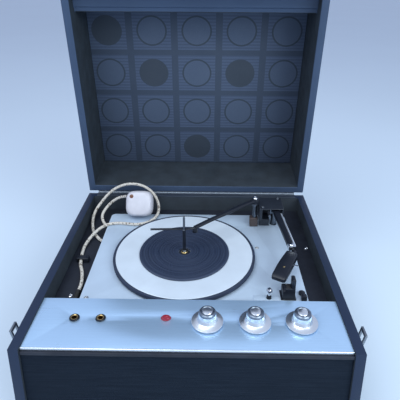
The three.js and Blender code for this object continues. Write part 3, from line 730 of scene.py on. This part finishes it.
LINED_X = (-PANEL_HIGH[0] - 0.7, PANEL_HIGH[0] + 0.7)
CASE_LINED = (LINED_X, (CASE_LOW[1] + 14, REAR_Y - 11), (8, RIM_Z - 3))
LID_LINED = (LINED_X, (-334, -11), (4, 96))

case_cover = cad_piece("case_cover", "base_case", 2.4, COVER, segments=3)
line_inside(case_cover, CASE_LINED, INNER_PAPER)


def foot_shape(node):
    """A tapered rubber foot with a screw recess under it."""
    x, y, _ = centre_mm(node)
    recess = [(0, -6.5), (2.6, -6.5), (3.4, -10)]
    side = [(7, -10), (8.4, -9.2), (9.4, -4), (10, -1.2), (10, -0.4), (0, -0.4)]
    return moved(lathe(recess + side, 32), (x, y, 0))


for foot in ("front_left", "front_right", "rear_left", "rear_right"):
    node = f"foot_{foot}"
    piece(f"rubber_{node}", foot_shape(node), RUBBER, replaces=[node])

cad_piece("front_grille", "speaker_cloth", 0.7, WEAVE)
cad_piece("panel_plate", "control_panel", 0.35, PANEL)
trim_low, trim_high = box_mm("panel_trim")
LIP_HEIGHT = 3.7
LIP_SETBACK = 3.2
lip_y = (trim_low[1] + LIP_SETBACK, trim_high[1])
lip_z = (trim_high[2] - LIP_HEIGHT, trim_high[2])
lip = block((trim_low[0], trim_high[0]), lip_y, lip_z, 0.9, 3)
piece("front_lip", lip, TRIM, replaces=["panel_trim"])
bead_z = (trim_low[2], trim_high[2] - LIP_HEIGHT - 0.2)
bead = block((trim_low[0], trim_high[0]), (trim_low[1] + 0.2, trim_high[1]), bead_z, 0.9, 3)
piece("front_bead", bead, BOARD)
cad_piece("bulkhead_board", "panel_bulkhead", 0.6, BOARD)
cad_piece("mounting_board", "motor_board", 0.8, BOARD)
screws("board_screws", [(-171, -66, BOARD_TOP), (187, 55, BOARD_TOP)], 3.4)


# ---------------------------------------------------------------- knobs, sockets and pilot light
def knob_parts():
    """A spun bell with a ribbed waist, a dark ring on it, and a domed bright cap."""
    bell = [(4, 0.4), (18.6, 0), (19.7, 0.4), (20, 1.1), (19.7, 1.7), (18.6, 2.1)]
    bell += [(15, 2.7), (12.8, 4.2), (11.6, 6.6), (11.2, 8.2), (11, 12.4), (10.4, 13.4)]
    bell += [(4, 13.4), (4, 0.4)]
    ring = [(5, 13.5), (10.2, 13.5), (10.6, 14.2), (10.2, 16), (9, 17.2), (7.4, 17.4)]
    ring += [(6.6, 16.6), (5, 16.6), (5, 13.5)]
    cap = [(0, 13.6), (6.4, 13.6), (6.4, 16.8), (5.8, 17.5), (4.2, 18), (2, 18.2), (0, 18.3)]
    ribbed = lathe(bell, 144)
    ribs = 48
    for v in ribbed.verts:
        r = math.hypot(v.co.x, v.co.y) / MM
        if 10.8 < r < 11.4 and 8 < v.co.z / MM < 13:
            push = 1 - 0.03 * (1 + math.cos(math.atan2(v.co.y, v.co.x) * ribs))
            v.co.x *= push
            v.co.y *= push
    return {"skirt": ribbed, "ring": lathe(ring, 64), "cap": lathe(cap, 64)}


def control_knob(control):
    """One knob's three pieces, which turn together."""
    node = f"{control}_knob"
    place = centre_mm(node)
    place[2] = box_mm(node)[0][2]
    spun = spun_metal(f"{control}_knob_metal", (0.90, 0.94, 0.97), 0.26, 0.38, place)
    finishes = {"skirt": spun, "ring": KNOB_RING, "cap": spun}
    for part, bm in knob_parts().items():
        replaced = [node] if part == "skirt" else []
        look = finishes[part]
        body = f"{control}_control"
        piece(f"{control}_knob_{part}", moved(bm, place), look, body, replaced, 28)


def jack_socket(side):
    """A brass bush through the panel, with a black collar round its mouth."""
    node = f"jack_socket_{side}"
    x, y, _ = centre_mm(node)
    barrel = [(4.55, -22), (4.55, 1.9), (3.9, 2.0), (3.2, 1.6)]
    barrel += [(3.2, -17), (0, -17), (0, -22), (4.55, -22)]
    bush = moved(lathe(barrel, 32), (x, y, PANEL_TOP))
    piece(f"socket_bush_{side}", bush, BRASS, replaces=[node])
    nut = [(4.7, 0.3), (6.4, 0.3), (6.4, 0.9), (5.8, 1.7), (4.7, 1.9), (4.7, 0.3)]
    collar = moved(lathe(nut, 32), (x, y, PANEL_TOP))
    piece(f"socket_collar_{side}", collar, BLACK)


def jewel_shape():
    """A stepped lens of few facets, a little wider than it is deep."""
    x, y, _ = centre_mm("pilot_light")
    profile = [(0, -24), (4.4, -24), (4.4, 0.2), (5.9, 0.2), (5.9, 1.2), (5.2, 1.4)]
    profile += [(4.9, 2.6), (3.8, 2.9), (3.4, 3.8), (1.8, 4.1), (1.4, 4.6), (0, 4.7)]
    lens = lathe(profile, 16)
    for v in lens.verts:
        if v.co.z > 0:
            v.co.x *= 1.08
            v.co.y *= 0.82
    return moved(lens, (x, y, PANEL_TOP))


for control in ("volume", "bass", "treble"):
    control_knob(control)
for side in ("left", "right"):
    jack_socket(side)
piece("pilot_jewel", jewel_shape(), RED, replaces=["pilot_light"], smooth=8)

# ---------------------------------------------------------------- deck
DECK_SCREWS = [(103, 37.5, DECK_TOP), (-143, -83, DECK_TOP), (153, 130, DECK_TOP)]
cad_piece("deck_plate", "unit_plate", 0.5, DECK)
screws("deck_screws", DECK_SCREWS, 3.2, STEEL)


def spring_shape(node):
    """A coil of round wire, as tall as its CAD node."""
    low, high = box_mm(node)
    x, y, _ = centre_mm(node)
    turns, steps, radius, wire = 4, 20, 4.5, 0.7
    points = []
    for i in range(turns * steps + 1):
        a = 2 * math.pi * i / steps
        z = low[2] + wire + (high[2] - low[2] - 2 * wire) * i / (turns * steps)
        points.append((x + radius * math.cos(a), y + radius * math.sin(a), z))
    return sweep(points, wire, 8)


for corner in ("front_left", "front_right", "rear_right"):
    node = f"deck_spring_{corner}"
    piece(f"coil_{corner}", spring_shape(node), STEEL, replaces=[node])


def platter_shape():
    """A pressed platter: a flat ring with a rolled edge, on a short sleeve round the centre."""
    r = PLATTER_RADIUS
    top, low = PLATTER_TOP, box_mm("platter")[0][2]
    return lathe(
        [
            (4, low + 1),
            (14, low + 1),
            (14, top - 2),
            (r - 5.4, top - 2),
            (r - 4.6, top - 1.4),
            (r - 4.2, top - 0.4),
            (r - 4.8, top),
            (MAT_RADIUS + 2, top),
            (MAT_RADIUS - 1, top - 0.5),
            (9, top - 0.5),
            (8, top - 1.5),
            (4, top - 1.5),
            (4, low + 1),
        ],
        128,
    )


def skirt_shape():
    """The platter's rubber-dark outer band, standing round the ring."""
    r = PLATTER_RADIUS
    top, low = PLATTER_TOP, box_mm("platter")[0][2]
    profile = [(r - 3, low), (r - 1, low), (r - 0.4, low + 0.8), (r, top - 1.6), (r - 0.5, top - 0.5)]
    profile += [(r - 1.6, top), (r - 3.2, top), (r - 3.8, top - 0.5), (r - 3, top - 3), (r - 3, low)]
    return lathe(profile, 128)


def mat_shape():
    """A grooved rubber mat with raised bands and an open centre."""
    low = box_mm("platter_mat")[0][2]
    profile = [(9, low), (MAT_RADIUS, low), (MAT_RADIUS, low + 1.0), (MAT_RADIUS - 0.8, low + 1.7)]
    grooves = 13
    step = (MAT_RADIUS - 16) / grooves
    for i in range(grooves):
        outer = MAT_RADIUS - 2 - step * i
        high = low + (2.4 if i % 4 == 0 else 1.9)
        profile += [(outer, high), (outer - step * 0.55, high)]
        profile += [(outer - step * 0.65, high - 0.9), (outer - step * 0.92, high - 0.9)]
    profile += [(12.5, low + 1.6), (10, low + 1.4), (9, low + 0.8), (9, low)]
    return lathe(profile, 128)


def on_axis(bm, z=0.0):
    """Moves a shape from the origin to the platter's axis, at a height."""
    return moved(bm, (PLATTER_AT[0], PLATTER_AT[1], z))


platter = on_axis(platter_shape())
piece("platter_ring", platter, PLATTER, "turntable", ["platter"], 30)
piece("platter_band", on_axis(skirt_shape()), BAND, "turntable")
hub = [(4, -3), (8.8, -3), (8.8, -0.2), (8.2, 0.5), (6, 0.1), (4, 0.1), (4, -3)]
piece("platter_hub", on_axis(lathe(hub, 48), PLATTER_TOP), BOARD, "turntable")
collar = [(3.6, -2), (5.2, -2), (5.2, 1.2), (4.6, 1.9), (3.6, 1.9), (3.6, -2)]
piece("platter_collar", on_axis(lathe(collar, 40), PLATTER_TOP), BRASS, "turntable")
piece("ribbed_mat", on_axis(mat_shape()), MAT, "turntable", ["platter_mat"], 20)


def spindle_shape():
    """A stepped autochanger spindle with its bearing, record ledge and rounded tip."""
    ledge = SPINDLE_TIP - 26
    profile = [(0, 92), (12, 92), (12, 111.4), (3.3, 111.6)]
    profile += [(3.3, PLATTER_TOP + 3), (2.5, PLATTER_TOP + 4)]
    profile += [(2.5, ledge), (2.9, ledge + 0.8), (2.9, ledge + 2), (1.7, ledge + 2.6)]
    profile += [(1.7, SPINDLE_TIP - 4), (1.2, SPINDLE_TIP - 1.2), (0, SPINDLE_TIP)]
    return on_axis(lathe(profile, 24))


piece("changer_spindle", spindle_shape(), DARK_STEEL, replaces=["record_spindle"])


def start_control():
    """A chrome button on a stem, its collar, and the strip that hides the plate's slot."""
    x, y, _ = centre_mm("start_control")
    stem = [(0, -8), (5, -8), (5, -3), (2, -3), (2, 9.5)]
    button = [(2.6, 10), (4, 11.2), (4.2, 13), (3.9, 14.8), (2.6, 16.5), (0, 17)]
    knob = moved(lathe(stem + button, 32), (x, y, DECK_TOP))
    piece("start_knob", knob, CHROME, "start_reject", ["start_control"])
    sleeve = lathe([(2.2, 0.6), (3.6, 0.6), (3.2, 3.4), (2.6, 5.6), (2.2, 5.6), (2.2, 0.6)], 28)
    piece("start_collar", moved(sleeve, (x, y, DECK_TOP)), BLACK, "start_reject")
    shield_z = (DECK_TOP + 0.15, DECK_TOP + 0.55)
    shield = block((x - 21, x + 21), (y - 5, y + 5), shield_z, 0.15)
    piece("start_slot_shield", shield, DECK, "start_reject")


start_control()
cad_piece("speed_tab", "speed_lever", 0.7, BLACK, "speed_selector")

# ---------------------------------------------------------------- pickup arm
cad_piece("arm_housing", "arm_pedestal", 0.7, DARK_ENAMEL, segments=3)
housing_top = box_mm("arm_pedestal")[1][2]
screws("housing_screws", [(117, 98, housing_top), (146, 129, housing_top)], 2.6, DARK_STEEL)
cad_piece("gimbal_yoke", "arm_yoke", 0.5, DARK_STEEL, "arm_gimbal")

arm_place = placed(ARM_PIVOT, ARM_TURN, "Z")
head_place = arm_place @ placed((0.5, 1 - ARM_LENGTH, -5), HEAD_TURN, "Z")


def rounded_bar(x0, x1, z0, z1, rounding, count=6):
    """A rounded rectangle's points, as (x, z) pairs, for lofting along Y."""
    points = []
    for corner_x, corner_z, start in ((x1, z1, 0), (x0, z1, 90), (x0, z0, 180), (x1, z0, 270)):
        centre_x = corner_x + (-rounding if corner_x == x1 else rounding)
        centre_z = corner_z + (-rounding if corner_z == z1 else rounding)
        for k in range(count):
            a = math.radians(start + 90 * k / (count - 1))
            points.append((centre_x + rounding * math.cos(a), centre_z + rounding * math.sin(a)))
    return points


def rounded_loft(stations, rounding):
    """A solid along Y through (y, half width, low z, high z) stations with rounded corners."""
    rings = []
    for y, half, z0, z1 in stations:
        rings.append([(x, y, z) for x, z in rounded_bar(-half, half, z0, z1, rounding)])
    return loft(rings)


def arm_shape():
    """The arm: a moulded channel that narrows a little towards the head."""
    stations = [
        (6, 4.6, -4.2, 3.6),
        (3, 5, -4.5, 4),
        (-30, 5, -4.5, 4),
        (-70, 4.6, -4.2, 3.7),
        (-110, 4.2, -4, 3.4),
        (-120.6, 4, -3.8, 3.2),
    ]
    return rounded_loft(stations, 1.6)


piece("arm_tube", arm_shape(), BLACK, "arm", ["pickup_arm"], at=arm_place)
strip = block((4.4, 6.8), (-119, -26), (1.6, 4.4), 0.6, 3)
piece("arm_strip", strip, TRIM, "arm", at=arm_place)
joint = joined(
    block((-4.4, 6.4), (-121, -113), (-2, 4.3), 0.8),
    moved(lathe([(0, 3.8), (3.2, 3.8), (3.4, 4.6), (2.6, 5.3), (0, 5.5)], 24), (0.5, -116, 0)),
)
piece("arm_joint", joint, CHROME, "arm", at=arm_place)


def headshell_shape():
    """A moulded shell, highest near the neck and sloping down to the front."""
    stations = [
        (0, 6.5, -6.8, 3.6),
        (-3, 8.6, -7, 4.8),
        (-20, 9.6, -7, 5),
        (-40, 10.3, -7, 3.6),
        (-56, 10.3, -7, 1.2),
        (-60.5, 9.9, -6.8, 0),
        (-HEAD_LENGTH, 9, -6.2, -1.4),
    ]
    return rounded_loft(stations, 1.8)


shell = joined(headshell_shape(), block((-3.4, 3.4), (-2, 9.8), (-3.4, 0.1), 0.5))
piece("head_cover", shell, BLACK, "arm", ["headshell"], at=head_place)
lift = sweep([(8, -24.5, -0.4), (12, -24.5, -0.2), (16, -24.6, 0.4)], 1.3, 10, 1.5, 0.45)
piece("finger_lift", lift, CHROME, "arm", at=head_place)
dot = moved(lathe([(0, 0), (1.7, 0), (1.5, 0.5), (0.9, 0.8), (0, 0.9)], 20), (0.5, -40, 3.2))
piece("head_screw", dot, BRASS, "arm", at=head_place)
cad_piece("cartridge_body", "pickup_cartridge", 0.4, WHITE, "arm")


REST_LOW, REST_HIGH = box_mm("arm_rest")


def arm_rest_shape():
    """A moulded block on a flange, with an upright hook beside the arm's head."""
    flange_x = (REST_LOW[0] - 2, REST_HIGH[0] + 2)
    flange_y = (REST_LOW[1] - 1, REST_HIGH[1] + 2)
    flange = block(flange_x, flange_y, (DECK_TOP + 0.2, DECK_TOP + 2), 0.7)
    hook_x = (REST_HIGH[0] - 5.6, REST_HIGH[0] - 0.2)
    hook_y = (REST_LOW[1] + 0.2, REST_LOW[1] + 12.5)
    hook = block(hook_x, hook_y, (DECK_TOP + 14, RIM_Z + 17), 1.6, 3)
    return joined(flange, cad_shape("arm_rest", 1.3, 3), hook)


def rest_pad():
    """The strip of rubber that the arm's head lies on."""
    pad_x = (REST_LOW[0] + 4.5, REST_HIGH[0] - 6.2)
    pad_y = (REST_LOW[1] + 1.5, REST_LOW[1] + 9.5)
    return block(pad_x, pad_y, (REST_HIGH[2] - 1, REST_HIGH[2] + 0.4), 0.4)


piece("head_rest", arm_rest_shape(), BLACK, replaces=["arm_rest"])
rest_middle = (REST_LOW[0] + REST_HIGH[0]) / 2 - 2
piece("rest_pad", rest_pad(), RUBBER)
screws("rest_screw", [(rest_middle, REST_HIGH[1] - 3, REST_HIGH[2] - 3.7)], 1.8, STEEL)

# ---------------------------------------------------------------- steadying arm over the records
OVERARM_POST = (104, 106)
OVERARM_Z = RIM_Z + 33
OVERARM_END = (3.2, 23.6, OVERARM_Z - 2.5)
OVERARM_LINE = [
    (*OVERARM_POST, OVERARM_Z),
    (80, 87.5, OVERARM_Z),
    (50.9, 63, OVERARM_Z - 0.5),
    (26, 43, OVERARM_Z - 1.5),
    OVERARM_END,
]
TONGUE_LINE = [
    (12, 31, OVERARM_END[2]),
    OVERARM_END,
    (-8, 19.8, OVERARM_END[2]),
    (-30, 18.6, OVERARM_END[2]),
    (-65, 17, OVERARM_END[2]),
]


def turned_post():
    """A turned post with a collar under the arm."""
    top = OVERARM_Z - DECK_TOP
    profile = [(0, -5), (3.6, -5), (3.6, top - 10), (5.2, top - 9.2), (5.4, top - 8.6)]
    profile += [(5.4, top - 5.6), (5.1, top - 5), (3.6, top - 4.8), (3.6, top), (0, top)]
    return moved(lathe(profile, 32), (*OVERARM_POST, DECK_TOP))


def post_foot():
    """The moulded block that the post stands in."""
    x, y = OVERARM_POST
    return block((x - 8, x + 6), (y - 6, y + 6), (DECK_TOP + 0.3, DECK_TOP + 17), 1.6, 3)


def steadying_arm():
    """A flat tapering bar from its boss on the post to a round end, and the thin tongue there."""
    boss = [(4, -4.4), (6.4, -4.4), (6.5, 3.2), (5.6, 4.6), (3, 4.8)]
    boss += [(0, 4.8), (0, 2.2), (4, 2.2), (4, -4.4)]
    round_end = [(0, -8.4), (3.4, -8.4), (4, -7.8), (4, -1.6), (3.2, 0.2), (0, 0.4)]
    return joined(
        sweep(OVERARM_LINE, lambda t: 4.6 - 0.9 * t, 20, 4, 0.72),
        sweep(TONGUE_LINE, 2.2, 12, 3, 0.6),
        moved(lathe(boss, 32), (*OVERARM_POST, OVERARM_Z)),
        moved(lathe(round_end, 28), OVERARM_END),
    )


piece("steadying_post", turned_post(), DARK_STEEL, replaces=["overarm_post"])
# The foot's dark brown is painted shade and reflection.
piece("steadying_foot", post_foot(), BROWN)
piece("steadying_arm", steadying_arm(), BLACK, "steadying_arm", ["overarm"])
cap = [(0, 4.9), (4.4, 4.9), (4.6, 5.4), (4.2, 5.9), (2.4, 6.0), (2.2, 8.2), (1.2, 9), (0, 9.1)]
cap = moved(lathe(cap, 28), (*OVERARM_POST, OVERARM_Z))
piece("steadying_cap", cap, CHROME, "steadying_arm")

# ---------------------------------------------------------------- lid
hinge_place = placed((0, HINGE_Y, HINGE_Z))
lid_place = placed((0, HINGE_Y, HINGE_Z), LID_ANGLE)
lid_cover = cad_piece("lid_cover", "lid_shell", 2.4, LIT_LID_COVER, "lid", 3)
line_inside(lid_cover, LID_LINED, INNER_PAPER, lid_place)
lining = block((-192.4, 192.4), (-332.2, -15.2), (89.7, 92.6), 0.3)
piece("lid_lining", lining, LINING, "lid", ["lid_liner"], at=lid_place)

# ---------------------------------------------------------------- piano hinge
KNUCKLES = 30
KNUCKLE_PITCH = 2 * HINGE_HALF / KNUCKLES
KNUCKLE_GAP = 0.6


def knuckles(start):
    """Every second barrel of the hinge, about the X axis."""
    long = KNUCKLE_PITCH - KNUCKLE_GAP
    profile = [(0, 0), (1.5, 0), (1.6, 0.2), (1.6, long - 0.2), (1.5, long), (0, long)]
    barrels = []
    for i in range(start, KNUCKLES, 2):
        x = -HINGE_HALF + i * KNUCKLE_PITCH + KNUCKLE_GAP / 2
        barrels.append(moved(lathe(profile, 14), (x, 0, 0), 90, "Y"))
    return barrels


def hinge_leaf(y, z, start):
    """One leaf with the barrels that belong to it."""
    return joined(block((-HINGE_HALF, HINGE_HALF), y, z, 0.2), *knuckles(start))


lower_leaf = hinge_leaf((-14.1, -0.8), (-0.65, 0.35), 0)
upper_leaf = hinge_leaf((-2.3, -1.3), (1.0, 15.8), 1)
base_leaf = ["hinge_base_leaf"]
piece("hinge_lower", lower_leaf, HINGE_STEEL, replaces=base_leaf, at=hinge_place)
piece("hinge_upper", upper_leaf, HINGE_STEEL, "lid", ["hinge_lid_leaf"], at=lid_place)

# ---------------------------------------------------------------- catches and handle
CATCH_FACE = 206.8
BRACKET_FACE = 207.3
HANDLE_X = CASE_HIGH[0] + 7
HANDLE_Z = 74


def side_catch(side, sign):
    """A plate with three screws on the side wall, and the loop that turns on it."""
    plate = f"catch_plate_{side}"
    lever = f"catch_lever_{side}"
    cad_piece(f"catch_base_{side}", plate, 0.35, STEEL)
    cad_piece(f"catch_loop_{side}", lever, 0.5, HINGE_STEEL, f"{side}_catch")
    x = sign * CATCH_FACE
    y = centre_mm(plate)[1]
    places = [(x, y, 116), (x, y - 9, 106), (x, y + 9, 106)]
    screws(f"catch_screws_{side}", places, 1.7, STEEL, facing=(sign, 0, 0))


def handle_mount(end):
    """A bracket on the right wall, with a screw above and below the pivot."""
    node = f"handle_bracket_{end}"
    cad_piece(f"handle_mount_{end}", node, 0.5, CHROME)
    y = centre_mm(node)[1]
    places = [(BRACKET_FACE, y, HANDLE_Z - 13.5), (BRACKET_FACE, y, HANDLE_Z + 13.5)]
    screws(f"handle_screws_{end}", places, 2.2, STEEL, facing=(1, 0, 0))


def grip_ring(t):
    """The grip's outline at t from -1 to 1 along it, fullest in the middle."""
    swell = 1 - 0.18 * t * t
    ring = []
    for a in np.linspace(0, 2 * math.pi, 24, endpoint=False):
        x = HANDLE_X + 0.5 + 4.9 * swell * math.cos(a)
        ring.append((x, 50 * t, HANDLE_Z - 25 + 6.9 * swell * math.sin(a)))
    return ring


def handle_shape():
    """A moulded grip on two arms that end in the pivot pins."""
    x, z = HANDLE_X, HANDLE_Z
    parts = [loft([grip_ring(i / 24 * 2 - 1) for i in range(25)])]
    for s in (-1, 1):
        arm = [(x, s * 52, z), (x, s * 50, z - 8)]
        arm += [(x + 0.2, s * 48.5, z - 16), (x + 0.5, s * 45, z - 24)]
        parts.append(sweep(arm, lambda t: 3.4 + 1.0 * t, 14, 3, 0.9))
        pin = lathe([(0, 0), (2.4, 0), (2.4, 16), (2, 16.6), (0, 16.6)], 20)
        parts.append(moved(pin, (x, s * 44.5, z), -90 * s, "X"))
    return joined(*parts)


for side, sign in (("left", -1), ("right", 1)):
    side_catch(side, sign)
for end in ("front", "rear"):
    handle_mount(end)
piece("handle_grip", handle_shape(), BLACK, "handle", ["carry_handle"])

# ---------------------------------------------------------------- inner parts that keep their CAD shape
KEPT = {
    "front_baffle": PLYWOOD,
    "speaker_frame": STEEL,
    "speaker_cone": CONE,
    "volume_potentiometer": STEEL,
    "bass_potentiometer": STEEL,
    "treble_potentiometer": STEEL,
    "amplifier_chassis": STEEL,
    "output_valve": GLASS,
    "output_transformer": DARK_ENAMEL,
    "drive_motor": DARK_ENAMEL,
    "motor_pulley": BRASS,
    "idler_wheel": RUBBER,
}
for node, look in KEPT.items():
    for material_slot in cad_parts[node].material_slots:
        material_slot.material = look

# ---------------------------------------------------------------- floor and light
FLOOR_Z = -10.2


def floor():
    """A wide pale floor just under the rubber feet."""
    look = Look("pale_floor", (0.66, 0.77, 0.87), 0.55)
    look.tints(0.015, 1.2)
    bm = bmesh.new()
    bmesh.ops.create_circle(bm, cap_ends=True, segments=64, radius=14)
    mesh = bpy.data.meshes.new("floor")
    bm.to_mesh(mesh)
    bm.free()
    mesh.materials.append(look.material)
    made = bpy.data.objects.new("floor", mesh)
    made.location.z = FLOOR_Z * MM
    bpy.context.scene.collection.objects.link(made)


def area_light(name, place, target, size, power, color):
    """A soft rectangular light that faces its target."""
    data = bpy.data.lights.new(name, "AREA")
    data.shape = "RECTANGLE"
    data.size, data.size_y = size
    data.energy = power
    data.color = color
    made = bpy.data.objects.new(name, data)
    made.location = place
    direction = Vector(target) - Vector(place)
    made.rotation_euler = direction.to_track_quat("-Z", "Y").to_euler()
    bpy.context.scene.collection.objects.link(made)


def sky():
    """Even pale light from all round."""
    world = bpy.data.worlds.new("pale_sky")
    world.use_nodes = True
    background = world.node_tree.nodes["Background"]
    background.inputs["Color"].default_value = (0.62, 0.71, 0.94, 1)
    background.inputs["Strength"].default_value = 0.74
    bpy.context.scene.world = world


floor()
sky()
area_light("window", (-0.7, -0.7, 1.9), (0, 0, 0.1), (1.6, 1.6), 24, (0.90, 0.97, 1.0))
area_light("fill", (1.1, -1.1, 1.2), (0.35, -0.35, 0.0), (1.2, 1.2), 20, (0.86, 0.97, 1.0))
bpy.context.scene.view_settings.view_transform = "Standard"
